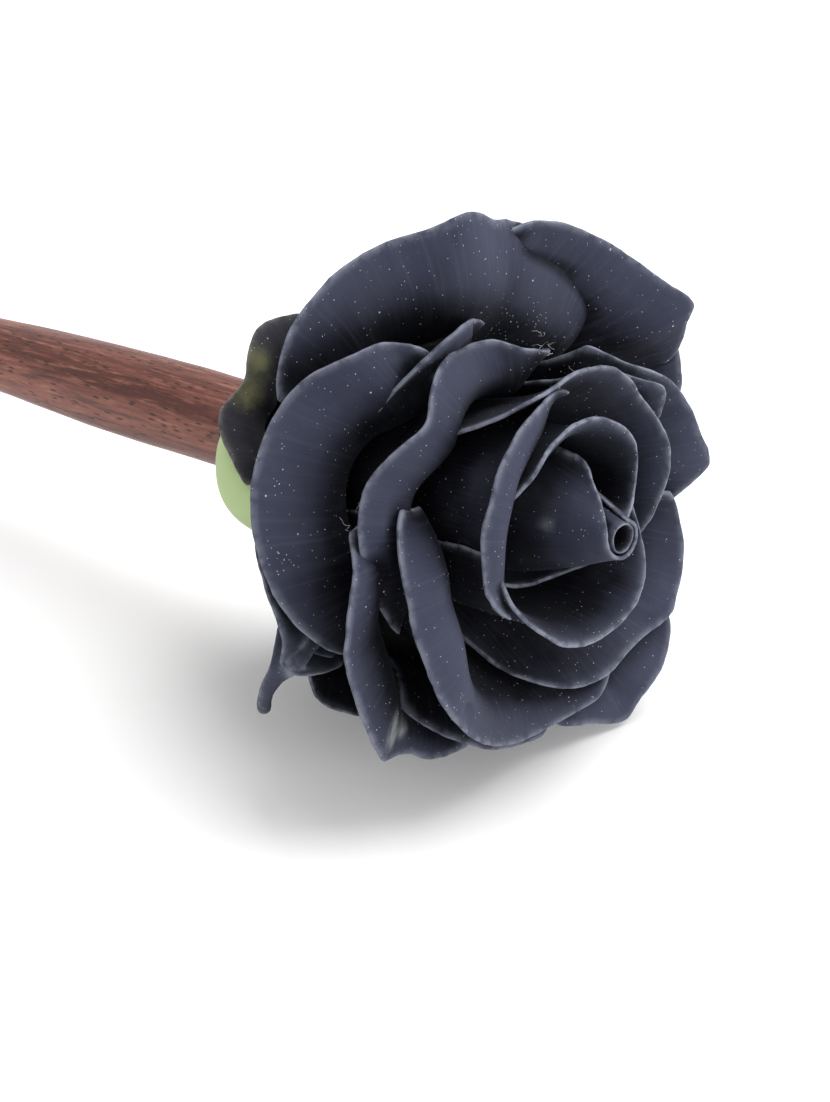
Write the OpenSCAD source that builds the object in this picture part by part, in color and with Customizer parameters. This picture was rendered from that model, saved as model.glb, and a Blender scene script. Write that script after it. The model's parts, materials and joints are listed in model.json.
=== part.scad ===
// Hair stick: a turned wooden stick with a hand-made clay rose glued on its thick end.
// The pin lies on a table on its lowest petals and its tip, with the rose towards +X.
// A point of the rose is given as an angle about the stick's axis (0 up, 90 towards -Y),
// a radius from that axis and a height above the stick's shoulder, where the rose begins.

/* [Stick] */
// Length from the rose's base to the rounded tip
stick_len = 150; // [120:5:180]
// Diameter of the straight shank
shank_d = 5; // [4:0.5:5.5]
// Diameter of the thick neck just behind the rose
neck_d = 7.2; // [6:0.2:8]
// Diameter of the tip
tip_d = 2.8; // [2:0.2:4]
// Length over which the neck thins down to the shank
neck_len = 42; // [36:1:50]
// Length over which the shank thins down to the tip
taper_len = 34; // [20:1:50]
// Diameter of the tenon inside the rose
tenon_d = 4; // [3:0.5:4.5]
// Length of the tenon
tenon_len = 12; // [8:1:14]

/* [Rose] */
// Width across the open rose
rose_w = 44; // [36:1:52]
// Thickness of a petal at its foot
petal_thick = 0.9; // [0.7:0.1:1.2]
// Thickness of a petal along its rim
petal_edge = 0.3; // [0.3:0.05:0.7]
// Rows of facets from a petal's foot to its rim
petal_rows = 10; // [5:1:10]

/* [Fit] */
// Thickness of the glue around the tenon
glue_gap = 0.2; // [0.1:0.05:0.4]
// Slope at which the pin lies, from its tip up to the rose
lie_slope = 6.2; // [4:0.1:12]

/* [Hidden] */
$fn = 96;

CLAY = "#2b2f3c";
LEAF_GREEN = "#a9cf6a";
WOOD = "#7a3b26";
GLUE = "#e8e2cf";
eps = 0.01;

// The petals are drawn for a rose of this width and scaled to rose_w
drawn_w = 44;
petal_scale = rose_w / drawn_w;

// Reach of the rose from the stick's axis and along it, used to centre the whole pin
rose_reach = 41.2 * petal_scale;
rose_drop = 17.4 * petal_scale;
rose_shift = -1.2 * petal_scale;
base_x = (stick_len * cos(lie_slope) - rose_reach) / 2;
base_z = rose_drop;

// ---- Curves and petal surfaces ----

function mix(a, b, t) = a + (b - a) * t;

// Point of a smooth curve through the control points p, at t from 0 to 1
function through(p, t) =
    let (n = len(p) - 1, s = min(n - 1, floor(t * n)), f = t * n - s,
         a = s > 0 ? p[s - 1] : 2 * p[0] - p[1], b = p[s], c = p[s + 1],
         d = s < n - 1 ? p[s + 2] : 2 * p[n] - p[n - 1])
    b + f / 2 * (c - a + f * (2 * a - 5 * b + 4 * c - d + f * (3 * (b - c) + d - a)));

// Point of a cubic curve from a to d with handles b and c
function bow(a, b, c, d, t) =
    let (s = 1 - t) s * s * s * a + 3 * s * s * t * b + 3 * s * t * t * c + t * t * t * d;

// Direction in the plane of radius and height, at an angle from the stick's axis
function slant(angle) = [sin(angle), cos(angle)];

// A value that is the same all over a petal, or changes evenly from its first edge to its last
function across(a, u) = is_list(a) ? mix(a[0], a[1], u) : a;

// Middle of a petal at u across and v from foot to rim. The foot is one [angle, radius, height]
// and the rim a list of [angle, radius, height, lip], where lip is the direction in which the
// rim points. The petal leaves its foot at the angle lean. belly and crown say how far it keeps
// those two directions, and share is how much of the rim's spread its foot has.
function petal_point(foot, share, lean, belly, crown, rim, u, v) =
    let (edge = through(rim, u), from = [foot[1], foot[2]], to = [edge[1], edge[2]],
         reach = norm(to - from),
         p = bow(from, from + belly * reach * slant(across(lean, u)),
                 to - across(crown, u) * reach * slant(edge[3]), to, v),
         foot_angle = foot[0] + (edge[0] - foot[0]) * share,
         angle = mix(foot_angle, edge[0], sin(90 * min(1, v / 0.75))))
    [p[0] * cos(angle), p[0] * sin(angle), p[1]];

// Thickness of a petal: full in the middle and at the foot, thin along its free edges
function petal_t(u, v) = mix(petal_thick, petal_edge, pow(max(v, abs(2 * u - 1) * min(1, 2 * v)), 4));

// Two triangles on the corners a, b, c, d
function pair(a, b, c, d) = [[a, b, c], [a, c, d]];

// Closed petal: its middle surface thickened to both sides and closed along its edges
module petal(foot, share, lean, belly, crown, rim, per = 3) {
    cols = per * (len(rim) - 1);
    rows = petal_rows;
    function up(j) = sin(90 * j / rows);
    mid = [for (i = [0:cols]) [for (j = [0:rows])
        petal_point(foot, share, lean, belly, crown, rim, i / cols, up(j))]];
    side = [for (s = [1, -1]) for (i = [0:cols]) for (j = [0:rows])
        let (n = cross(mid[min(cols, i + 1)][j] - mid[max(0, i - 1)][j],
                       mid[i][min(rows, j + 1)] - mid[i][max(0, j - 1)]))
        mid[i][j] + s * petal_t(i / cols, up(j)) / 2 * n / norm(n)];
    function at(s, i, j) = (s * (cols + 1) + i) * (rows + 1) + j;
    faces = concat(
        [for (i = [0:cols - 1]) for (j = [0:rows - 1])
            for (f = pair(at(0, i, j), at(0, i, j + 1), at(0, i + 1, j + 1), at(0, i + 1, j))) f],
        [for (i = [0:cols - 1]) for (j = [0:rows - 1])
            for (f = pair(at(1, i, j), at(1, i + 1, j), at(1, i + 1, j + 1), at(1, i, j + 1))) f],
        [for (i = [0:cols - 1]) for (f = concat(
            pair(at(0, i, rows), at(1, i, rows), at(1, i + 1, rows), at(0, i + 1, rows)),
            pair(at(0, i, 0), at(0, i + 1, 0), at(1, i + 1, 0), at(1, i, 0)))) f],
        [for (j = [0:rows - 1]) for (f = concat(
            pair(at(0, 0, j), at(1, 0, j), at(1, 0, j + 1), at(0, 0, j + 1)),
            pair(at(0, cols, j), at(0, cols, j + 1), at(1, cols, j + 1), at(1, cols, j)))) f]);
    on_axis() scale(petal_scale) polyhedron(side, faces, convexity = 6);
}

// Tapered, flat, twisted horn of clay along a path of [angle, radius, height] points
module spike(path) {
    sides = 8;
    rings = 12;
    root_w = 2.3;
    neck_w = 0.95;
    tip_w = 0.6;
    flat = 0.5;
    start = 105;
    turn = 70;
    route = [for (p = path) [p[1] * cos(p[0]), p[1] * sin(p[0]), p[2]]];
    points = [for (k = [0:rings])
        let (t = k / rings, c = through(route, t),
             ahead = through(route, min(1, t + 0.02)) - through(route, max(0, t - 0.02)),
             d = ahead / norm(ahead), wide = cross(d, [0, 0, 1]), a = wide / norm(wide), b = cross(a, d),
             w = mix(neck_w, tip_w, t) + (root_w - neck_w) * pow(1 - min(1, t / 0.6), 2),
             h = mix(flat, tip_w, t))
        for (i = [0:sides - 1])
            let (q = 360 * i / sides, u = w * cos(q), v = h * sin(q), r = start + turn * t)
            c + a * (u * cos(r) - v * sin(r)) + b * (u * sin(r) + v * cos(r))];
    last = rings * sides;
    walls = [for (k = [0:rings - 1]) for (i = [0:sides - 1])
        let (j = (i + 1) % sides, p = k * sides)
        for (f = pair(p + i, p + j, p + sides + j, p + sides + i)) f];
    ends = [for (i = [1:sides - 2]) for (f = [[0, i + 1, i], [last, last + i, last + i + 1]]) f];
    on_axis() scale(petal_scale) polyhedron(points, concat(walls, ends), convexity = 4);
}

// Puts the stick's axis on its slope, with the rose's base at the stick's shoulder
module on_axis() {
    translate([base_x, rose_shift, base_z])
        rotate([0, 90 - lie_slope, 0]) rotate([0, 0, 180]) children();
}

// ---- Stick, core and calyx ----

// Height of the stick's shoulder, where its full width ends inside the calyx
seat_z = 3.8;

// Radius of the neck at a distance behind the rose, swelling and then thinning to the shank
function neck_r(x) =
    let (f = x / neck_len) shank_d / 2 + (neck_d - shank_d) / 2 * (cos(180 * pow(f, 1.3)) + 1) / 2;

module stick() {
    steps = 12;
    neck = [for (i = [0:steps]) let (x = neck_len * i / steps) [neck_r(x), -x]];
    tip_r = tip_d / 2;
    taper_top = stick_len - taper_len;
    tip = [for (a = [0:15:90]) [tip_r * cos(a), -(stick_len - tip_r) - tip_r * sin(a)]];
    color(WOOD) on_axis() rotate_extrude()
        polygon(concat([[0, seat_z + tenon_len], [tenon_d / 2, seat_z + tenon_len], [tenon_d / 2, seat_z],
            [neck_d / 2, seat_z]], neck, [[shank_d / 2, -taper_top]], tip));
}

module core() {
    // Radius and height of points on the core's outline, from the shoulder to the top
    outline = [[3.6, 0], [4.1, 2], [4.2, 7], [4.2, 13], [4, 19], [3.2, 25], [1.6, 29], [0, 30]];
    steps = 24;
    color(CLAY) on_axis() difference() {
        translate([0, 0, seat_z]) scale(petal_scale) rotate_extrude()
            polygon(concat([[0, 0]], [for (i = [0:steps]) through(outline, i / steps)]));
        translate([0, 0, seat_z - eps]) cylinder(h = tenon_len + glue_gap + eps, d = tenon_d + 2 * glue_gap);
    }
}

module glue() {
    color(GLUE) on_axis() translate([0, 0, seat_z]) difference() {
        cylinder(h = tenon_len + glue_gap, d = tenon_d + 2 * glue_gap);
        translate([0, 0, -eps]) cylinder(h = tenon_len + eps, d = tenon_d);
    }
}

// ---- Petals of the bud ----

// Hollow point of clay that the bud is rolled round
module bud_core() {
    // Radius and height of points on the outside, and then on the small hole in the tip
    outside = [[2.9, 34], [2, 37.3], [1.2, 40.6], [1.15, 41]];
    hole = [[1, 41], [0.95, 38.5], [0, 37.8]];
    color(CLAY) on_axis() scale(petal_scale) rotate_extrude()
        polygon(concat([[0, outside[0][1]]], outside, hole));
}

// Innermost petal, rolled into a cone that ends in a small open tube
module bud_roll() color(CLAY) petal([150, 4.8, 22], 1, 6, 0.55, 0.25, [
    [-13, 5.2, 35, 0], [-12, 5, 36.8, -10], [-6, 3.2, 38.4, -20], [14, 1.9, 39.8, -20], [50, 1.6, 40.6, -18],
    [95, 1.5, 40.9, -15], [145, 1.5, 41, -12], [195, 1.5, 41.1, -10], [240, 1.5, 41.1, -10],
    [285, 1.5, 41, -10], [325, 1.3, 40.6, -15]], 2);

// Second turn of the bud, a low lip under the cone
module bud_wrap() color(CLAY) petal([190, 5.3, 22], 0.9, 6, 0.5, 0.3, [
    [120, 6, 30, 0], [150, 6, 31.2, 0], [175, 5.9, 32, 2], [192, 5.9, 32.7, 4], [205, 5.9, 33.8, 4],
    [216, 5.8, 35, 0], [232, 5.6, 35.8, -4], [252, 5.4, 36, -4], [275, 5.3, 34.5, 0]], 2);

// Arch over the bud
module heart_top() color(CLAY) petal([-20, 5, 19], 0.7, 10, 0.6, 0.2, [
    [57, 7.8, 36, 20], [43, 7.8, 37, 35], [28, 7.9, 37.2, 50], [10, 8, 36.9, 60], [-8, 8.1, 36.7, 60],
    [-26, 8.2, 36.8, 55], [-42, 8, 37.2, 45], [-56, 7.6, 37.4, 35], [-68, 7, 37.2, 25], [-78, 6, 37.4, 10],
    [-88, 5, 37.8, 0], [-98, 3.6, 38.4, -10]], 2);

// Bowl under the bud
module heart_bowl() color(CLAY) petal([175, 5, 18], 0.7, 28, 0.5, 0.2, [
    [86, 8.5, 36, 20], [100, 8.6, 36.5, 25], [115, 8.7, 37.3, 30], [132, 8.8, 38.5, 35], [156, 8.8, 38.4, 40],
    [180, 8.8, 38.4, 40], [204, 8.8, 38.4, 38], [222, 8.8, 37.7, 35], [240, 8.6, 36.4, 30],
    [257, 8, 35.2, 20]], 2);

// Narrow strip rolled outwards on the left of the bud
module heart_strip() color(CLAY) petal([50, 5, 17], 0.75, 14, 0.85, 0.24, [
    [-20, 9.5, 34, 30], [-6, 10, 34.5, 60], [13, 10.2, 35.6, 95], [32, 10.4, 36, 110], [45, 10.5, 36.1, 115],
    [58, 10.5, 36.4, 115], [74, 10.5, 36.4, 115], [89, 10.3, 36.2, 110], [101, 10, 36.1, 95],
    [111, 9.6, 36.4, 70], [118, 9.2, 36.8, 40]], 2);

// ---- Inner petals ----

// Arch around the upper right of the heart
module inner_arch() color(CLAY) petal([-45, 5, 15.5], 0.6, 12, 0.5, 0.3, [
    [38, 10.6, 30.8, 25], [29, 10.5, 32.8, 25], [14, 10.5, 34.7, 30], [-1, 10.5, 35, 40], [-14, 11.2, 35, 50],
    [-28, 11.8, 35, 55], [-42, 12, 35.3, 55], [-58, 12, 34.8, 50], [-70, 12, 35.3, 45], [-83, 12, 35.8, 45],
    [-98, 11.5, 35.6, 40], [-112, 11, 35, 35], [-122, 10.6, 34, 30]], 2);

// Small squared corner between the arch and the right petal
module inner_corner() color(CLAY) petal([-69, 5, 13], 0.5, 30, 0.5, 0.3, [
    [-52, 12.8, 31, 40], [-60, 13.4, 32.9, 45], [-65, 14.2, 34.8, 55], [-72, 14, 34.2, 55], [-79, 13.6, 33.4, 45],
    [-86, 12.8, 31.6, 40]]);

// Wavy petal with its lip rolled outwards, around the left of the heart
module inner_wave() color(CLAY) petal([52, 5, 13.5], 0.7, [20, 26], 1, 0.38, [
    [-27, 11.9, 30, 25], [-14, 12.4, 32.6, 45], [-3, 13, 32.2, 75], [2, 13.9, 30.6, 95], [12, 14.4, 29.8, 105], [21, 14.8, 29.7, 110],
    [31, 14.6, 30.2, 108], [41, 13.8, 31, 95], [52, 14.8, 30.1, 108], [63, 15.6, 29, 112], [75, 15.8, 29, 115],
    [88, 15.4, 29.4, 112], [101, 14.6, 29.6, 105], [119, 13.2, 28.4, 60]], 2);

// Deep bowl across the lower right
module inner_bowl() color(CLAY) petal([200, 5, 15.5], 0.6, 22, 0.5, 0.35, [
    [148, 9.4, 25.4, 25], [157, 11, 28.6, 30], [166, 12.8, 31.4, 35], [176, 14, 33.6, 42], [185, 14.6, 34.6, 48],
    [194, 15, 35, 50], [205, 15.6, 34.6, 50], [215, 16.2, 34.6, 52], [222, 17, 35.3, 58], [229, 17.2, 34.8, 55],
    [242, 17, 33.8, 50], [254, 16.4, 32.4, 45]], 2);

// ---- Middle petals ----

// Pointed petal behind the wavy one
module middle_point() color(CLAY) petal([18, 5, 12], 0.5, 30, 0.6, 0.2, [
    [42, 14, 26.4, 50], [34, 14.8, 27.6, 60], [28, 15.3, 28.6, 70], [20, 16, 29.7, 80], [11, 16.5, 30.4, 90],
    [6, 15.4, 29, 80], [-3, 14.2, 27.4, 60], [-14, 13.2, 26, 50]], 2);

// Right petal with one pointed shoulder
module middle_side() color(CLAY) petal([-88, 5, 11], 0.5, 38, 0.5, 0.35, [
    [-54, 14.4, 28.4, 45], [-64, 15.2, 29.9, 50], [-70, 16.4, 31.1, 52], [-77, 18, 31.3, 55], [-84, 19, 31.7, 60],
    [-90, 19.3, 32.4, 62], [-95, 19.6, 32.7, 68], [-101, 20.6, 32.6, 80], [-105, 19.4, 32, 65],
    [-110, 18, 31.2, 55], [-118, 16.4, 29, 45]], 2);

// Broad petal sweeping along the lower left
module middle_bowl() color(CLAY) petal([138, 5, 14.5], 0.6, [16, 44], 0.95, [0.38, 0.2], [
    [69, 13.2, 30.6, 70], [80, 14, 31.4, 95], [92, 14.8, 32.6, 108], [101, 15.3, 33.1, 110], [110, 16, 34.1, 108],
    [119, 16.8, 34.8, 100], [128, 17.2, 35, 88], [140, 17.5, 34.6, 80], [154, 17.6, 33.8, 78],
    [170, 17.6, 33, 75], [182, 17.4, 33.1, 68], [192, 17, 34.1, 58], [202, 15.6, 34, 45]], 2);

// ---- Outer petals ----

// Big top petal, rolled back over the stick
module outer_top() color(CLAY) petal([-8, 4.8, 8], 0.4, 28, 0.85, 0.45, [
    [50, 18.4, 21, 90], [40, 20.2, 20.8, 102], [26, 20.8, 21, 108], [10, 20.6, 21.6, 108],
    [-3, 20.7, 23.8, 106], [-12, 21, 25, 104], [-24, 20.7, 24, 106], [-36, 20.7, 23.2, 106],
    [-47, 20.8, 24.2, 104], [-56, 20.6, 24.8, 100], [-61, 19.6, 25.2, 92], [-70, 18, 23.4, 80]], 2);

// Big left petal, rolled back as well
module outer_left() color(CLAY) petal([64, 4.8, 8], 0.45, [18, 26], 0.9, 0.5, [
    [22, 15.6, 29, 75], [27, 17.6, 27, 95], [36, 18.9, 25.8, 108], [43, 19.6, 23.8, 114], [53, 20, 22.5, 118],
    [64, 20, 22, 118], [74, 20, 22.3, 118], [84, 20, 23.2, 118], [93, 19.8, 24.4, 112], [100, 19.4, 26, 102],
    [107, 18.4, 27.8, 88], [112, 16.8, 27.4, 75]], 2);

// Petal at the top right with a pointed corner
module outer_corner() color(CLAY) petal([-56, 4.8, 9.5], 0.45, 48, 0.6, 0.35, [
    [-22, 19, 23.6, 65], [-34, 21.4, 24.6, 72], [-44, 22.2, 25.5, 74], [-51, 22.6, 26.6, 74], [-57, 22.8, 27.4, 74],
    [-63, 23, 29, 72], [-68, 23.5, 30.9, 72], [-72, 22.5, 30.2, 66], [-78, 21.8, 29.2, 60],
    [-84, 20.4, 27, 55]], 2);

// Sliver of a petal seen behind the corner
module outer_sliver() color(CLAY) petal([-84, 4.8, 6.5], 0.45, 62, 0.6, 0.35, [
    [-58, 18, 22, 70], [-68, 21, 26.4, 74], [-76, 22.2, 28.4, 76], [-84, 22.4, 28.6, 76], [-91, 22, 28, 75],
    [-100, 20.4, 25, 70], [-110, 18, 21, 65]]);

// Lower right petal ending in a point
module outer_tip() color(CLAY) petal([205, 4.8, 9.5], 0.5, 48, 0.55, 0.35, [
    [176, 17, 30, 60], [184, 18.6, 32.6, 75], [192, 20, 32.7, 82], [200, 22.1, 33, 90], [204, 21, 33.8, 80],
    [210, 20.4, 34.4, 75], [216, 20, 34.2, 70], [223, 19, 33.8, 62], [234, 17.4, 30, 52]], 2);

// Thin layer under the sweeping petal
module outer_low() color(CLAY) petal([163, 4.8, 8], 0.5, 58, 0.55, 0.35, [
    [140, 17, 27, 70], [149, 18, 29.4, 76], [157, 18.3, 30.8, 80], [163, 18.7, 31.5, 80], [171, 18.7, 31.6, 78],
    [179, 18.6, 31.9, 74], [188, 17, 30, 62]], 2);

// Lower left petal with a pale smudge at its corner
module outer_smudged() color(CLAY) petal([124, 4.8, 9], 0.45, [22, 48], 0.65, 0.35, [
    [78, 15, 27.4, 75], [83, 16.6, 29.4, 85], [89, 18, 30.4, 92], [98, 19, 30.4, 92], [106, 19.5, 29.9, 90],
    [114, 20.3, 30.3, 90], [124, 21, 30.4, 90], [134, 21.4, 29, 90], [144, 21.4, 27.4, 88],
    [155, 20.6, 27.4, 82], [164, 19.2, 28.6, 72]], 2);

// Layer showing under the left petal
module under_left() color(CLAY) petal([98, 4.8, 7.2], 0.5, 34, 0.6, 0.4, [
    [83, 17.6, 20.6, 90], [88, 18.8, 21.9, 100], [94, 19.3, 23.2, 106], [100, 19.3, 24, 104], [106, 19, 24.9, 98],
    [110, 18.4, 26, 88], [115, 17, 26.2, 75]], 2);

// Petal whose corner is pulled out into a twisted spike
module under_spike() color(CLAY) {
    petal([104, 4.8, 6.4], 0.4, 38, 0.55, 0.35, [
    [85, 17.2, 20, 85], [88, 18.6, 21.8, 88], [92, 19.5, 23.1, 92], [97, 20, 24.3, 95], [103, 20.5, 24.9, 104],
    [108, 21, 24.2, 112], [111, 20.4, 25.6, 95], [113, 19, 26.4, 85], [115, 17.6, 26.8, 75]], 2);
    spike([[104, 17.8, 24.4], [108.5, 20.3, 24.3], [113, 21, 22.8], [119, 21.2, 21], [127, 21.3, 18.9]]);
}

// Dark petal whose lower corner shows beside the spike
module under_corner() color(CLAY) petal([132, 4.8, 5.8], 0.4, [40, 58], 0.6, 0.35, [
    [108, 17, 22.4, 60], [114, 17.9, 23, 60], [121, 18.8, 23.4, 62], [127, 19.4, 23.6, 65], [131, 19.1, 24.6, 60],
    [139, 18.5, 25.6, 50], [150, 17.6, 25, 40]], 2);

// Dark petal low under the rose
module under_low() color(CLAY) petal([186, 4.8, 5.5], 0.5, 84, 0.7, 0.35, [
    [156, 13.6, 13.8, 8], [164, 15.6, 15.2, 8], [175, 16.8, 15.8, 10], [187, 17.4, 15.6, 10], [199, 17.4, 14.4, 12],
    [214, 16.4, 12.6, 20]], 2);

// ---- Calyx ----

// Black leaf wrapped round the near side of the calyx
module back_leaf() color(CLAY) petal([45, 4.2, 4.5], 0.8, 12, 0.75, 0.4, [
    [-4, 11, 9.4, 125], [6, 11.2, 8.6, 130], [16, 11.4, 8.2, 132], [27, 11, 8.8, 125], [37, 10.4, 9.6, 112],
    [45, 10.4, 9.4, 112], [54, 11, 9.2, 128], [64, 11.2, 10.2, 128], [73, 11, 11.8, 120], [81, 10.6, 12.8, 105]], 2);

// Green lobe bulging out below the black leaf
module sepal_low() color(LEAF_GREEN) petal([96, 4.3, 5.2], 0.7, 78, 0.45, 0.4, [
    [60, 8.2, 11.6, 8], [71, 9, 12.6, 5], [82, 9.3, 13.2, 0], [94, 9.4, 13.4, 0], [105, 9.3, 13, 5],
    [114, 9, 12, 12], [122, 8.2, 10.4, 25]], 2);

module sepal_far() color(LEAF_GREEN) petal([225, 4.3, 4.5], 0.8, 75, 0.4, 0.4, [
    [188, 6.8, 7.2, 60], [206, 8.4, 8.2, 60], [225, 9.2, 8.6, 60], [244, 8.4, 8.2, 60], [262, 6.8, 7.2, 60]]);

module sepal_back() color(LEAF_GREEN) petal([305, 4.3, 4.5], 0.8, 75, 0.4, 0.4, [
    [268, 6.8, 7.2, 60], [286, 8.4, 8.2, 60], [305, 9.2, 8.6, 60], [324, 8.4, 8.2, 60], [342, 6.8, 7.2, 60]]);

module calyx_cup() {
    color(LEAF_GREEN) on_axis() rotate_extrude()
        polygon([[neck_d / 2, 3], [3.9, 3.2], [4, 3.5], [3.9, seat_z], [neck_d / 2, seat_z]]);
}

stick();
glue();
core();
calyx_cup();
sepal_low();
sepal_far();
sepal_back();
back_leaf();
bud_core();
bud_roll();
bud_wrap();
heart_top();
heart_bowl();
heart_strip();
inner_arch();
inner_corner();
inner_wave();
inner_bowl();
middle_point();
middle_side();
middle_bowl();
outer_top();
outer_left();
outer_corner();
outer_sliver();
outer_tip();
outer_low();
outer_smudged();
under_left();
under_spike();
under_corner();
under_low();
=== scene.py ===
"""Hair pin: a dark clay rose with a pale green calyx, glued on a carved wooden hair stick."""
import json
import math
import random
import bmesh
import bpy
from mathutils import Matrix, Vector, kdtree, noise
from mathutils.bvhtree import BVHTree


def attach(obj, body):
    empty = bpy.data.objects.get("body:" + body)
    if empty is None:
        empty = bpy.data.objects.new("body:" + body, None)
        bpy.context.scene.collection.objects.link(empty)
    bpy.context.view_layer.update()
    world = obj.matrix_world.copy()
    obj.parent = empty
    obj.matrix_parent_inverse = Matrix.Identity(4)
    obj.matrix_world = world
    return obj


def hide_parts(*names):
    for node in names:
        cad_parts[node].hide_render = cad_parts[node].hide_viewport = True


MM = 0.001

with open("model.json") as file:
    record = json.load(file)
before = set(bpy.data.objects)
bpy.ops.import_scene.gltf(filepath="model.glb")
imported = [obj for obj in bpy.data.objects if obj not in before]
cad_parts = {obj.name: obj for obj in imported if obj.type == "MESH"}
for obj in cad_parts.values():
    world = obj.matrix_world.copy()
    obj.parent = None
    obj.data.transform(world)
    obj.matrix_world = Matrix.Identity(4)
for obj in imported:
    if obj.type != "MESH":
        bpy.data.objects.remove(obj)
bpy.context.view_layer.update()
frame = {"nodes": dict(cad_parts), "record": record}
record = frame["record"]
slot_of = {part["node"]: part["material_slot"] for part in record["subparts"]}

# ---- The rose's own frame: an axis along the stick and heights above the rose's base ----

SHAFT_MIDDLE = 79 * MM
shaft = next(mount for mount in record["mounts"] if mount["name"] == "shaft")
ALONG = -Vector(shaft["axis"]).normalized()
SIDE = Vector((0, -1, 0))
TOP = SIDE.cross(ALONG)
BASE = Vector(shaft["pos_m"]) + ALONG * SHAFT_MIDDLE


def rose_point(angle, radius, height):
    """Place of a point given by its angle round the axis in degrees, and radius and height in mm."""
    a = math.radians(angle)
    return BASE + (TOP * math.cos(a) + SIDE * math.sin(a)) * (radius * MM) + ALONG * (height * MM)


def rose_place(point):
    """Angle in degrees, radius in mm and height in mm of a point."""
    p = (point - BASE) / MM
    return math.degrees(math.atan2(p.dot(SIDE), p.dot(TOP))), math.hypot(p.dot(SIDE), p.dot(TOP)), p.dot(ALONG)


def fall(distance, reach):
    """1 at no distance, falling smoothly to 0 at reach."""
    t = max(0.0, 1.0 - distance / reach)
    return t * t * (3 - 2 * t)


# ---- Node building ----

def node(tree, kind, sockets=None, **settings):
    """Adds a node. A socket's value is a constant or another node's output to link."""
    made = tree.nodes.new(kind)
    for key, value in settings.items():
        setattr(made, key, value)
    for key, value in (sockets or {}).items():
        if isinstance(value, bpy.types.NodeSocket):
            tree.links.new(value, made.inputs[key])
        else:
            made.inputs[key].default_value = value
    return made


def math_node(tree, operation, a, b=0.5, clamp=False):
    return node(tree, "ShaderNodeMath", {0: a, 1: b}, operation=operation, use_clamp=clamp).outputs[0]


def scaled(tree, vector, scale):
    return node(tree, "ShaderNodeVectorMath", {0: vector, 1: scale}, operation="MULTIPLY").outputs[0]


def mixed(tree, share, a, b, blend="MIX"):
    made = node(tree, "ShaderNodeMix", data_type="RGBA", blend_type=blend)
    for key, value in ((0, share), (6, a), (7, b)):
        if isinstance(value, bpy.types.NodeSocket):
            tree.links.new(value, made.inputs[key])
        else:
            made.inputs[key].default_value = value
    return made.outputs[2]


def between(tree, value, low, high, out_low=0.0, out_high=1.0):
    """Smoothly takes value from low..high to out_low..out_high."""
    return node(tree, "ShaderNodeMapRange", {
        "Value": value, "From Min": low, "From Max": high, "To Min": out_low, "To Max": out_high},
        interpolation_type="SMOOTHSTEP").outputs["Result"]


def cloud(tree, vector, scale, detail=3.0, rough=0.55):
    return node(tree, "ShaderNodeTexNoise", {
        "Vector": vector, "Scale": scale, "Detail": detail, "Roughness": rough}).outputs["Fac"]


def new_group(name, inputs, outputs):
    """An empty shader node group with the named sockets, and its two end nodes."""
    tree = bpy.data.node_groups.new(name, "ShaderNodeTree")
    for side, sockets in (("INPUT", inputs), ("OUTPUT", outputs)):
        for label, kind in sockets:
            tree.interface.new_socket(label, in_out=side, socket_type=kind)
    return tree, tree.nodes.new("NodeGroupInput"), tree.nodes.new("NodeGroupOutput")


# Shares of open space over the clay, between which it goes from its painted shade in the hollows to its own colour
SHELTERED = 0.35
EXPOSED = 1.05
# Painted shade: the clay's colour is multiplied by this where other petals shut out the open space over it
PAINTED_SHADE_TINT = (0.08, 0.07, 0.08, 1)
# Layers of pale specks: cells in a metre, the share of cells with a speck, and its size as a part of a cell
SPECKS = [(1000.0, 0.12, 0.1), (2000.0, 0.16, 0.13), (3600.0, 0.14, 0.18)]

COLOUR = "NodeSocketColor"
FLOAT = "NodeSocketFloat"


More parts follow.
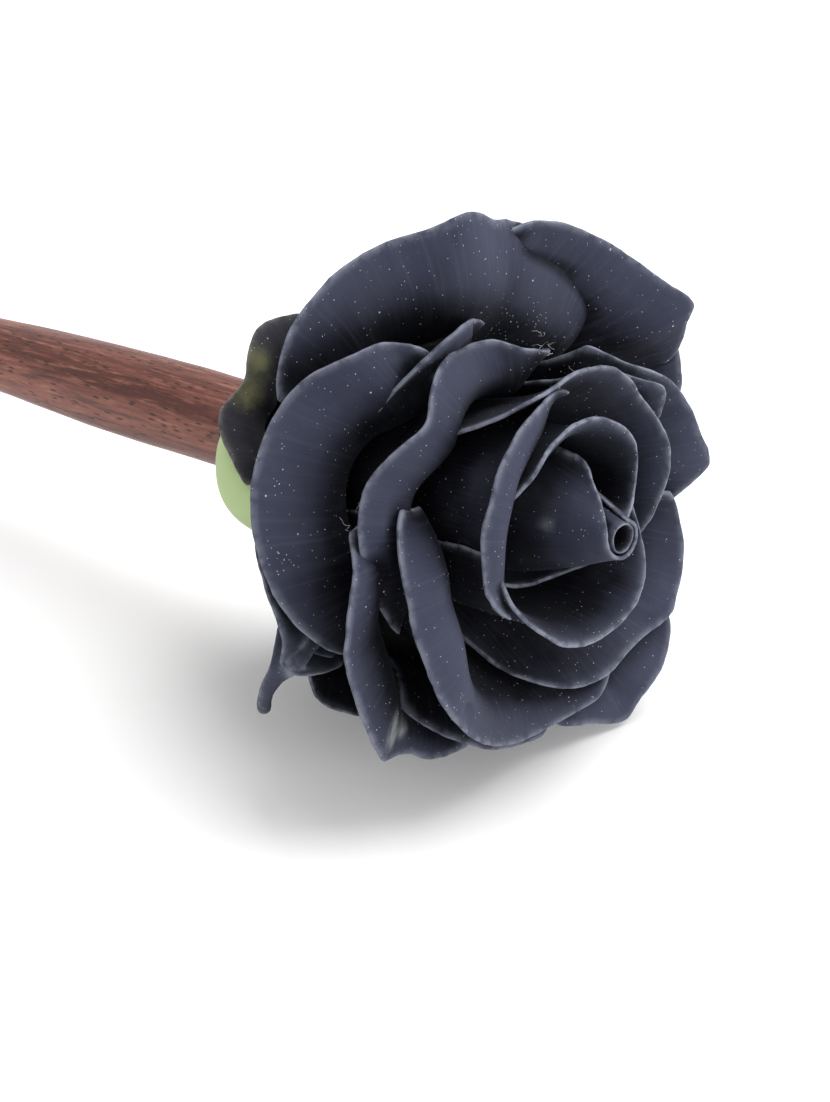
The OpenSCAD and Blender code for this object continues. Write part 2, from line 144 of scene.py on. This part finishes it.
def clay_skin_group():
    """Surface of rolled clay: painted shade in the hollows between petals, drawn-out streaks, rims paler with dust
    and painted highlight, pale specks and stains.
    """
    tree, given, out = new_group(
        "clay_skin",
        [("Body", COLOUR), ("Rim", COLOUR), ("Stain", COLOUR), ("Dust", FLOAT)],
        [("Colour", COLOUR), ("Roughness", FLOAT), ("Height", FLOAT)])
    place = node(tree, "ShaderNodeTexCoord").outputs["Object"]
    lay = node(tree, "ShaderNodeAttribute", attribute_name="lay").outputs["Vector"]
    rim = node(tree, "ShaderNodeAttribute", attribute_name="rim").outputs["Fac"]
    stain = node(tree, "ShaderNodeAttribute", attribute_name="stain").outputs["Fac"]

    # Share of open space over the point: drives the painted shade in the hollows, and the roughness
    open_share = node(tree, "ShaderNodeAttribute", attribute_name="open").outputs["Fac"]
    dust = given.outputs["Dust"]
    dust_colour = (0.36, 0.36, 0.39, 1)

    streaks = cloud(tree, scaled(tree, lay, (3.4, 0.3, 0.0)), 1.0, 5.0, 0.6)
    mottle = cloud(tree, place, 170.0, 3.0)
    grain = cloud(tree, place, 2600.0, 3.0, 0.7)

    # Painted shade: clay deep between the petals, with little open space over it, is darkened towards the painted
    # shade tint
    painted_shade = mixed(tree, 1.0, given.outputs["Body"], PAINTED_SHADE_TINT, "MULTIPLY")
    colour = mixed(tree, between(tree, open_share, SHELTERED, EXPOSED), painted_shade, given.outputs["Body"])
    colour = mixed(tree, between(tree, mottle, 0.35, 0.7, 0.0, 0.07), colour, given.outputs["Rim"])
    colour = mixed(tree, between(tree, streaks, 0.45, 0.8, 0.0, 0.07), colour, given.outputs["Rim"])
    # Paler rims: partly dust on the edges, partly painted highlight where the rounded edges catch light
    edge = math_node(tree, "MULTIPLY", math_node(tree, "POWER", rim, 6.0),
                     between(tree, cloud(tree, place, 900.0, 4.0), 0.32, 0.62, 0.2, 1.0))
    colour = mixed(tree, edge, colour, given.outputs["Rim"])

    stained = math_node(tree, "MULTIPLY", stain, between(tree, cloud(tree, place, 420.0, 5.0), 0.3, 0.6))
    colour = mixed(tree, stained, colour, given.outputs["Stain"])

    specks = 0.0
    for scale, share, size in SPECKS:
        cells = node(tree, "ShaderNodeTexVoronoi", {"Vector": place, "Scale": scale, "Randomness": 1.0})
        chance = node(tree, "ShaderNodeSeparateColor", {"Color": cells.outputs["Color"]}).outputs[0]
        few = between(tree, chance, 1 - share, 1 - share * 0.6)
        dot = between(tree, cells.outputs["Distance"], size * 0.4, size, 1.0, 0.0)
        specks = math_node(tree, "MAXIMUM", math_node(tree, "MULTIPLY", few, dot), specks)
    specks = math_node(tree, "MULTIPLY", specks, dust, True)
    colour = mixed(tree, specks, colour, dust_colour)

    rough = math_node(tree, "ADD", between(tree, mottle, 0.25, 0.75, 0.5, 0.64),
                      between(tree, open_share, SHELTERED, EXPOSED, 0.3, 0.0), True)
    height = math_node(tree, "ADD", math_node(tree, "MULTIPLY", streaks, 0.15),
                       math_node(tree, "MULTIPLY", grain, 0.45))
    height = math_node(tree, "ADD", height, math_node(tree, "MULTIPLY", specks, 0.6))
    for label, value in (("Colour", colour), ("Roughness", rough), ("Height", height)):
        tree.links.new(value, out.inputs[label])
    return tree


def material(name):
    made = bpy.data.materials.new(name)
    made.use_nodes = True
    return made, made.node_tree, made.node_tree.nodes["Principled BSDF"]


clay_skin = clay_skin_group()


def clay(name, body, rim, stain, dust, sheen, gloss):
    made, tree, shader = material(name)
    skin = node(tree, "ShaderNodeGroup", node_tree=clay_skin)
    for label, value in (("Body", body), ("Rim", rim), ("Stain", stain), ("Dust", dust)):
        skin.inputs[label].default_value = value
    bump = node(tree, "ShaderNodeBump", {"Height": skin.outputs["Height"], "Strength": 0.5, "Distance": 0.0001})
    tree.links.new(skin.outputs["Colour"], shader.inputs["Base Color"])
    tree.links.new(skin.outputs["Roughness"], shader.inputs["Roughness"])
    tree.links.new(bump.outputs["Normal"], shader.inputs["Normal"])
    shader.inputs["Specular IOR Level"].default_value = 0.1
    shader.inputs["Specular Tint"].default_value = gloss
    shader.inputs["Sheen Weight"].default_value = sheen
    shader.inputs["Sheen Roughness"].default_value = 0.6
    shader.inputs["Sheen Tint"].default_value = (0.75, 0.8, 1.0, 1)
    return made


def stick_wood():
    """Oiled red-brown wood: long fibres, darker bands and short dark pores along the stick."""
    made, tree, shader = material("stick_wood")
    slope = math.asin(ALONG.z)
    place = node(tree, "ShaderNodeTexCoord").outputs["Object"]
    turned = node(tree, "ShaderNodeMapping", {
        "Vector": place, "Rotation": (0.0, slope, 0.0)}).outputs["Vector"]
    bend = cloud(tree, scaled(tree, turned, (0.35, 1.0, 1.0)), 90.0, 2.0)
    wander = node(tree, "ShaderNodeVectorMath", {
        0: turned, 1: scaled(tree, node(tree, "ShaderNodeCombineXYZ", {
            0: 0.0, 1: bend, 2: bend}).outputs[0], (0.0, 0.0012, 0.0012))}, operation="ADD").outputs[0]
    bands = cloud(tree, scaled(tree, wander, (0.06, 1.0, 1.0)), 420.0, 3.0)
    fibres = cloud(tree, scaled(tree, wander, (0.07, 1.0, 1.0)), 3200.0, 5.0, 0.75)
    colour = mixed(tree, between(tree, bands, 0.36, 0.64), (0.085, 0.022, 0.016, 1), (0.21, 0.07, 0.05, 1))
    colour = mixed(tree, between(tree, fibres, 0.5, 0.7, 0.0, 0.6), colour, (0.4, 0.19, 0.13, 1))
    colour = mixed(tree, between(tree, fibres, 0.36, 0.5, 0.85, 0.0), colour, (0.06, 0.022, 0.018, 1))
    cells = node(tree, "ShaderNodeTexVoronoi", {
        "Vector": scaled(tree, wander, (0.2, 1.0, 1.0)), "Scale": 3800.0, "Randomness": 1.0})
    few = between(tree, node(tree, "ShaderNodeSeparateColor", {"Color": cells.outputs["Color"]}).outputs[0],
                  0.5, 0.65)
    pores = math_node(tree, "MULTIPLY", few, between(tree, cells.outputs["Distance"], 0.14, 0.4, 0.85, 0.0))
    colour = mixed(tree, pores, colour, (0.02, 0.008, 0.006, 1))
    tree.links.new(colour, shader.inputs["Base Color"])
    tree.links.new(between(tree, fibres, 0.3, 0.7, 0.34, 0.5), shader.inputs["Roughness"])
    height = math_node(tree, "SUBTRACT", math_node(tree, "MULTIPLY", fibres, 0.6), pores)
    bump = node(tree, "ShaderNodeBump", {"Height": height, "Strength": 0.6, "Distance": 0.00012})
    tree.links.new(bump.outputs["Normal"], shader.inputs["Normal"])
    shader.inputs["Specular IOR Level"].default_value = 0.35
    return made


def plain(name, colour, rough):
    made, tree, shader = material(name)
    place = node(tree, "ShaderNodeTexCoord").outputs["Object"]
    shade = cloud(tree, place, 900.0, 3.0)
    lighter = [min(1.0, c * 1.15) for c in colour] + [1]
    tree.links.new(mixed(tree, shade, [*colour, 1], lighter), shader.inputs["Base Color"])
    shader.inputs["Roughness"].default_value = rough
    return made


MATERIALS = {
    "black_clay": clay("black_clay", (0.028, 0.03, 0.051, 1), (0.15, 0.16, 0.2, 1),
                       (0.3, 0.31, 0.32, 1), 1.0, 0.015, (0.75, 0.82, 1, 1)),
    "leaf_clay": clay("leaf_clay", (0.022, 0.0225, 0.031, 1), (0.14, 0.13, 0.13, 1),
                      (0.2, 0.2, 0.095, 1), 1.0, 0.03, (1, 1, 1, 1)),
    "green_clay": clay("green_clay", (0.42, 0.53, 0.25, 1), (0.5, 0.6, 0.34, 1),
                       (0.2, 0.22, 0.1, 1), 0.25, 0.1, (1, 1, 1, 1)),
    "wood": stick_wood(),
    "glue": plain("glue", (0.7, 0.66, 0.5), 0.25),
}
DUST = plain("dust", (0.4, 0.4, 0.42), 0.9)


# ---- Petals ----

FOOT_BAND = 1.3
RIM_REACH = 1.6
RIM_FOLD = math.radians(50)

# Local changes to a petal: place in the rose's frame, reach in mm, push as (top, side, along) in mm
PUSHES = {
    "sepal_low": [((62, 8.5, 12), 3.0, (0, 0, -2.2))],
    "outer_top": [((-10, 21, 25), 4.0, (0.6, 0, 0.1)), ((-4, 20, 25), 1.5, (-0.3, 0, -0.1)),
                  ((-19, 20, 25), 2.5, (-0.3, 0, 0))],
    "outer_smudged": [((146, 21, 27.5), 4.5, (0.9, -0.6, 0)), ((141, 18, 28), 1.8, (-0.3, 0.25, 0.3)),
                      ((150, 18.5, 27), 1.3, (0.3, -0.3, -0.3))],
    "middle_bowl": [((133, 16, 35), 1.2, (0.4, -0.2, -0.4)), ((188, 15, 28.5), 4.0, (1.3, 0.2, 0))],
}

# Stains on a petal: place in the rose's frame, reach in mm, strength
STAINS = {
    "back_leaf": [((28, 10, 9.5), 2.0, 0.5), ((43, 9.5, 10), 2.0, 0.6)],
    "outer_smudged": [((134, 19, 29), 2.2, 1.0), ((142, 18.5, 28), 1.8, 0.8)],
    "bud_roll": [((66, 3.5, 36.5), 0.9, 0.2)],
    "under_spike": [((125, 21.5, 19.5), 1.6, 0.3)],
}

# Places where crumbs of dust gather: place in the rose's frame, reach in mm, strength
GATHERS = [
    ((67, 18.5, 23), 1.8, 0.8), ((85, 19, 24), 1.6, 1.0), ((88, 18.5, 25), 1.4, 0.7),
    ((124, 19, 30), 2.2, 1.0), ((137, 18, 28.5), 1.8, 1.0), ((-8, 19.5, 25), 2.2, 0.8),
    ((-36, 13, 24), 2.6, 1.0), ((-47, 13.5, 25), 2.6, 1.0), ((-58, 14, 27), 2.4, 1.0),
    ((-9, 12.5, 32.5), 1.8, 0.6), ((75, 12, 24), 1.6, 0.6), ((28, 11, 9.5), 2.0, 0.5),
    ((125, 21.5, 19.5), 1.6, 0.8)]


def smooth_copy(name):
    """A CAD node's mesh with its corners merged and its grid of squares back, as a new object."""
    bm = bmesh.new()
    bm.from_mesh(frame["nodes"][name].data)
    bmesh.ops.remove_doubles(bm, verts=bm.verts, dist=0.1 * MM * 0.1)
    bmesh.ops.join_triangles(bm, faces=bm.faces, angle_face_threshold=1.0, angle_shape_threshold=1.2,
                             topology_influence=1)
    rim_layer = bm.verts.layers.float.new("rim")
    lay_layer = bm.verts.layers.float_vector.new("lay")
    places = {v: rose_place(v.co) for v in bm.verts}
    low = min(p[2] for p in places.values())
    folds = [v for v in bm.verts if places[v][2] > low + FOOT_BAND
             and any(e.calc_face_angle(0.0) > RIM_FOLD for e in v.link_edges)]
    tree = kdtree.KDTree(len(folds))
    for i, v in enumerate(folds):
        tree.insert(v.co, i)
    tree.balance()
    middle = sum((Vector((math.cos(math.radians(places[v][0])), math.sin(math.radians(places[v][0]))))
                  for v in folds), Vector((0, 0)))
    centre = math.degrees(math.atan2(middle.y, middle.x))
    foot_radius = min(p[1] for p in places.values() if p[2] < low + FOOT_BAND)
    for v in bm.verts:
        angle, radius, height = places[v]
        turn = (angle - centre + 180) % 360 - 180
        v[rim_layer] = max(0.0, 1.0 - tree.find(v.co)[2] / MM / RIM_REACH)
        v[lay_layer] = (math.radians(turn) * 14, math.hypot(radius - foot_radius, height - low), 0)
    mesh = bpy.data.meshes.new(name)
    bm.to_mesh(mesh)
    bm.free()
    made = bpy.data.objects.new(name + "_clay", mesh)
    bpy.context.collection.objects.link(made)
    return made


# How far from a petal another one shelters it, and the number of directions looked in
SHELTER = 12 * MM
LOOKS = 64


def find_open(petals):
    """Stores on each petal, in its open attribute, the share of space over it that no petal blocks, from which the
    clay paints its shade in the hollows.
    """
    bm = bmesh.new()
    for petal in petals:
        bm.from_mesh(petal.data)
    blocks = BVHTree.FromBMesh(bm)
    bm.free()
    ways = []
    for k in range(LOOKS):
        z = 1 - (2 * k + 1) / LOOKS
        turn = k * math.pi * (3 - math.sqrt(5))
        flat = math.sqrt(1 - z * z)
        ways.append(Vector((flat * math.cos(turn), flat * math.sin(turn), z)))
    for petal in petals:
        shares = []
        for v in petal.data.vertices:
            start = v.co + v.normal * (0.2 * MM)
            facing = [(way, way.dot(v.normal)) for way in ways if way.dot(v.normal) > 0.1]
            free = sum(weight for way, weight in facing if blocks.ray_cast(start, way, SHELTER)[0] is None)
            shares.append(free / sum(weight for _, weight in facing))
        petal.data.attributes.new("open", "FLOAT", "POINT").data.foreach_set("value", shares)


def settle(made, level):
    """Subdivides the object's mesh for good, so that it can be worked on."""
    grown = made.modifiers.new("round", "SUBSURF")
    grown.levels = level
    grown.render_levels = level
    bpy.context.view_layer.update()
    mesh = bpy.data.meshes.new_from_object(made.evaluated_get(bpy.context.evaluated_depsgraph_get()))
    made.modifiers.remove(grown)
    made.data = mesh
    for face in mesh.polygons:
        face.use_smooth = True


def work(made, name, wave=0.14, fray=0.09, nick=0.045):
    """Hand-made unevenness, and the pushes and stains listed for this petal."""
    mesh = made.data
    rim = [value.value for value in mesh.attributes["rim"].data]
    places = [v.co.copy() for v in mesh.vertices]
    for label, marks in (("stain", STAINS.get(name, [])), ("gather", GATHERS)):
        spots = [(rose_point(*at), reach * MM, strength) for at, reach, strength in marks]
        values = [sum(strength * fall((p - at).length, reach) for at, reach, strength in spots) for p in places]
        mesh.attributes.new(label, "FLOAT", "POINT").data.foreach_set("value", values)
    pushes = [(rose_point(*at), reach * MM, TOP * push[0] + SIDE * push[1] + ALONG * push[2])
              for at, reach, push in PUSHES.get(name, [])]
    for v, place in zip(mesh.vertices, places):
        p = place / MM
        edge = rim[v.index]
        move = noise.noise_vector(p * 0.22) * wave + noise.noise_vector(p * 0.6) * (fray * edge ** 2)
        move += noise.noise_vector(p * 1.7) * (nick * edge ** 5)
        for at, reach, push in pushes:
            move += push * fall((place - at).length, reach)
        v.co += move * MM


# Pieces whose finish differs a little from their slot's
FINISHES = {"back_leaf": "leaf_clay"}


def finish_piece(made, slot, *nodes):
    made.data.materials.clear()
    made.data.materials.append(MATERIALS[FINISHES.get(nodes[0], slot)])
    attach(made, "root")
    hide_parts(*nodes)


# Round parts that keep their CAD shape, after the stick, which is carved below
TURNED = ("stick", "glue", "core", "calyx_cup")

petals = {part["node"]: smooth_copy(part["node"]) for part in record["subparts"] if part["node"] not in TURNED}
find_open(petals.values())
for name, petal in petals.items():
    settle(petal, 2)
    work(petal, name)
    finish_piece(petal, slot_of[name], name)

for name in TURNED[1:]:
    plain_node = frame["nodes"][name]
    for held in plain_node.material_slots:
        held.material = MATERIALS[slot_of[name]]


# ---- Dust and lint ----

CRUMB = 0.045 * MM


def crumb_tree():
    """Small chips strewn on a surface, thicker where its gather attribute is high."""
    tree = bpy.data.node_groups.new("crumbs", "GeometryNodeTree")
    for label, kind in (("Surface", "NodeSocketGeometry"), ("Density", FLOAT), ("Gathered", FLOAT),
                        ("Size", FLOAT), ("Seed", "NodeSocketInt"), ("Finish", "NodeSocketMaterial")):
        tree.interface.new_socket(label, in_out="INPUT", socket_type=kind)
    tree.interface.new_socket("Crumbs", in_out="OUTPUT", socket_type="NodeSocketGeometry")
    given = tree.nodes.new("NodeGroupInput").outputs
    gather = node(tree, "GeometryNodeInputNamedAttribute", {"Name": "gather"}, data_type="FLOAT")
    density = math_node(tree, "ADD", given["Density"], math_node(
        tree, "MULTIPLY", gather.outputs["Attribute"], given["Gathered"]))
    points = node(tree, "GeometryNodeDistributePointsOnFaces", {
        "Mesh": given["Surface"], "Density": density, "Seed": given["Seed"]})
    chip = node(tree, "GeometryNodeMeshIcoSphere", {"Radius": given["Size"], "Subdivisions": 1})
    size = node(tree, "FunctionNodeRandomValue", {
        0: (0.4, 0.4, 0.3), 1: (2.2, 1.3, 1.0), "Seed": given["Seed"]}, data_type="FLOAT_VECTOR")
    turn = node(tree, "FunctionNodeRandomValue", {
        0: (0.0, 0.0, 0.0), 1: (6.3, 6.3, 6.3), "Seed": 7}, data_type="FLOAT_VECTOR")
    strewn = node(tree, "GeometryNodeInstanceOnPoints", {
        "Points": points.outputs["Points"], "Instance": chip.outputs["Mesh"],
        "Rotation": turn.outputs[0], "Scale": size.outputs[0]})
    real = node(tree, "GeometryNodeRealizeInstances", {"Geometry": strewn.outputs[0]})
    done = node(tree, "GeometryNodeSetMaterial", {"Geometry": real.outputs[0], "Material": given["Finish"]})
    out = tree.nodes.new("NodeGroupOutput")
    tree.links.new(done.outputs[0], out.inputs["Crumbs"])
    return tree


def strew(name, sources, **values):
    """Runs the crumb tree over the joined sources and returns its result as a plain piece."""
    bm = bmesh.new()
    for source in sources:
        bm.from_mesh(source.data)
    mesh = bpy.data.meshes.new(name)
    bm.to_mesh(mesh)
    bm.free()
    made = bpy.data.objects.new(name, mesh)
    bpy.context.collection.objects.link(made)
    grown = made.modifiers.new("strew", "NODES")
    grown.node_group = crumb_tree()
    sockets = {item.name: item.identifier for item in grown.node_group.interface.items_tree
               if item.in_out == "INPUT"}
    for label, value in values.items():
        grown[sockets[label]] = value
    bpy.context.view_layer.update()
    result = bpy.data.meshes.new_from_object(made.evaluated_get(bpy.context.evaluated_depsgraph_get()))
    made.modifiers.remove(grown)
    made.data = result
    return made


def thread(bm, points, radius):
    """A thin four-sided thread through the points, closed at both ends."""
    rings = []
    for i, p in enumerate(points):
        ahead = (points[min(i + 1, len(points) - 1)] - points[max(i - 1, 0)]).normalized()
        a = ahead.orthogonal().normalized()
        b = ahead.cross(a)
        rings.append([bm.verts.new(p + (a * math.cos(q) + b * math.sin(q)) * radius)
                      for q in (0, math.pi / 2, math.pi, 1.5 * math.pi)])
    for r, t in zip(rings, rings[1:]):
        for i in range(4):
            j = (i + 1) % 4
            bm.faces.new((r[i], r[j], t[j], t[i]))
    bm.faces.new(rings[0][::-1])
    bm.faces.new(rings[-1])


# Lint: place in the rose's frame, reach in mm, number of threads, length in mm
LINT = [((-49, 13, 25.5), 1.2, 5, 1.0), ((-59, 13.5, 27.5), 1.2, 5, 1.0), ((-14, 12.5, 32.5), 0.8, 3, 1.2),
        ((74, 12, 25.5), 0.6, 2, 2.4), ((80, 13.5, 26), 0.6, 2, 1.4)]


def lint(name):
    chance = random.Random(11)
    bm = bmesh.new()
    for at, reach, count, length in LINT:
        for _ in range(count):
            p = rose_point(*at) + Vector([chance.uniform(-reach, reach) for _ in range(3)]) * 0.6 * MM
            way = Vector([chance.uniform(-1, 1) for _ in range(3)]).normalized()
            points = [p]
            for _ in range(7):
                way = (way + Vector([chance.uniform(-0.6, 0.6) for _ in range(3)])).normalized()
                points.append(points[-1] + way * length * MM * chance.uniform(0.6, 1.2) / 7)
            thread(bm, points, 0.014 * MM)
    mesh = bpy.data.meshes.new(name)
    bm.to_mesh(mesh)
    bm.free()
    made = bpy.data.objects.new(name, mesh)
    bpy.context.collection.objects.link(made)
    return made


black_petals = [petal for name, petal in petals.items() if slot_of[name] == "black_clay"]
crumbs = strew("dust_crumbs", black_petals, Density=45000.0, Gathered=2500000.0, Size=CRUMB, Seed=5, Finish=DUST)
threads = lint("lint_threads")
threads.data.materials.append(DUST)
for piece in (crumbs, threads):
    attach(piece, "root")

# ---- Stick: turned from the CAD node's own outline, with the marks of a knife ----

SHOULDER = 0.5


def carved_stick(name, segments=64, step=0.8):
    outline = {}
    for v in frame["nodes"][name].data.vertices:
        _, radius, height = rose_place(v.co)
        outline.setdefault(round(height, 1), []).append((height, radius))
    rows = []
    for _, found in sorted(outline.items()):
        wide = max(found, key=lambda row: row[1])
        slim = min(found, key=lambda row: row[1])
        rows.append((wide[0], -wide[1]))
        if wide[1] - slim[1] > SHOULDER and slim[1] < wide[1] * 0.7:
            rows.append((slim[0], -slim[1]))
    points = [(rows[0][0], -rows[0][1])]
    for height, radius in rows[1:]:
        last = points[-1]
        count = max(1, math.ceil(math.hypot(height - last[0], -radius - last[1]) / step))
        for k in range(1, count + 1):
            points.append((last[0] + (height - last[0]) * k / count, last[1] + (-radius - last[1]) * k / count))
    bm = bmesh.new()
    rings = []
    for height, radius in points:
        if radius < 0.02:
            rings.append([bm.verts.new(rose_point(0, 0, height))])
            continue
        ring = []
        for i in range(segments):
            angle = 360 * i / segments
            a = math.radians(angle)
            cut = noise.noise(Vector((height * 0.05, 1.3 * math.cos(a), 1.3 * math.sin(a))) + Vector((3, 0, 0)))
            knife = noise.noise(Vector((height * 0.22, 2.6 * math.cos(a), 2.6 * math.sin(a))))
            worked = radius + (0.12 * cut + 0.05 * knife) * min(1, radius / 3)
            ring.append(bm.verts.new(rose_point(angle, worked, height)))
        rings.append(ring)
    for a, b in zip(rings, rings[1:]):
        for i in range(segments):
            j = (i + 1) % segments
            if len(a) == 1 and len(b) > 1:
                bm.faces.new((a[0], b[j], b[i]))
            elif len(b) == 1 and len(a) > 1:
                bm.faces.new((a[i], a[j], b[0]))
            elif len(a) > 1:
                bm.faces.new((a[i], a[j], b[j], b[i]))
    bmesh.ops.recalc_face_normals(bm, faces=bm.faces)
    mesh = bpy.data.meshes.new(name)
    bm.to_mesh(mesh)
    bm.free()
    for face in mesh.polygons:
        face.use_smooth = True
    made = bpy.data.objects.new("carved_stick", mesh)
    bpy.context.collection.objects.link(made)
    finish_piece(made, "wood", name)
    return made


stick = carved_stick("stick")

# ---- Floor, light and camera ----

floor_mesh = bpy.data.meshes.new("floor")
bm = bmesh.new()
bmesh.ops.create_grid(bm, x_segments=1, y_segments=1, size=3.0)
bm.to_mesh(floor_mesh)
bm.free()
floor = bpy.data.objects.new("floor", floor_mesh)
bpy.context.collection.objects.link(floor)
floor_material, _, floor_shader = material("pale_floor")
floor_shader.inputs["Base Color"].default_value = (0.92, 0.92, 0.92, 1)
floor_shader.inputs["Roughness"].default_value = 0.8
floor_mesh.materials.append(floor_material)

world = bpy.data.worlds.new("studio")
bpy.context.scene.world = world
world.use_nodes = True
world.node_tree.nodes["Background"].inputs["Color"].default_value = (1.0, 1.0, 1.0, 1)
world.node_tree.nodes["Background"].inputs["Strength"].default_value = 0.78

# The camera looks down the rose at an angle to the stick. The stick's line falls to the right.
VIEW_FROM_AXIS = math.radians(50)
VIEW_ROUND = 57.62
VIEW_FALL = math.radians(16.5)
VIEW_HEIGHT = 18
VIEW_DISTANCE = 330 * MM
SENSOR = 36.0
LENS = 141.2
SHIFT_X = 0.0207
SHIFT_Y = -0.0734

aim = rose_point(0, 0, VIEW_HEIGHT)
outward = rose_point(VIEW_ROUND, 1, 0) - BASE
outward.normalize()
back = outward * math.sin(VIEW_FROM_AXIS) + ALONG * math.cos(VIEW_FROM_AXIS)
fallen = (ALONG - back * ALONG.dot(back)).normalized()
right = Matrix.Rotation(VIEW_FALL, 3, back) @ fallen
up = back.cross(right)
camera_data = bpy.data.cameras.new("camera")
camera_data.sensor_fit = "VERTICAL"
camera_data.sensor_height = SENSOR
camera_data.lens = LENS
camera_data.shift_x = SHIFT_X
camera_data.shift_y = SHIFT_Y
camera_data.clip_start = 0.01
camera = bpy.data.objects.new("camera", camera_data)
bpy.context.collection.objects.link(camera)
camera.matrix_world = Matrix.Translation(aim + back * VIEW_DISTANCE) @ Matrix((right, up, back)).transposed().to_4x4()
bpy.context.scene.camera = camera
bpy.context.scene.view_settings.view_transform = "Standard"


def soft_light(name, offset, size, power):
    """A square lamp at an offset (right, up, back) in metres from the rose, as the camera sees it."""
    data = bpy.data.lights.new(name, "AREA")
    data.size = size
    data.energy = power
    lamp = bpy.data.objects.new(name, data)
    bpy.context.collection.objects.link(lamp)
    place = aim + right * offset[0] + up * offset[1] + back * offset[2]
    lamp.matrix_world = Matrix.Translation(place) @ (place - aim).to_track_quat("Z", "Y").to_matrix().to_4x4()


soft_light("key", (0.25, 0.58, 0.2), 0.6, 5.0)
soft_light("fill", (0.5, -0.15, 0.2), 0.4, 5.0)
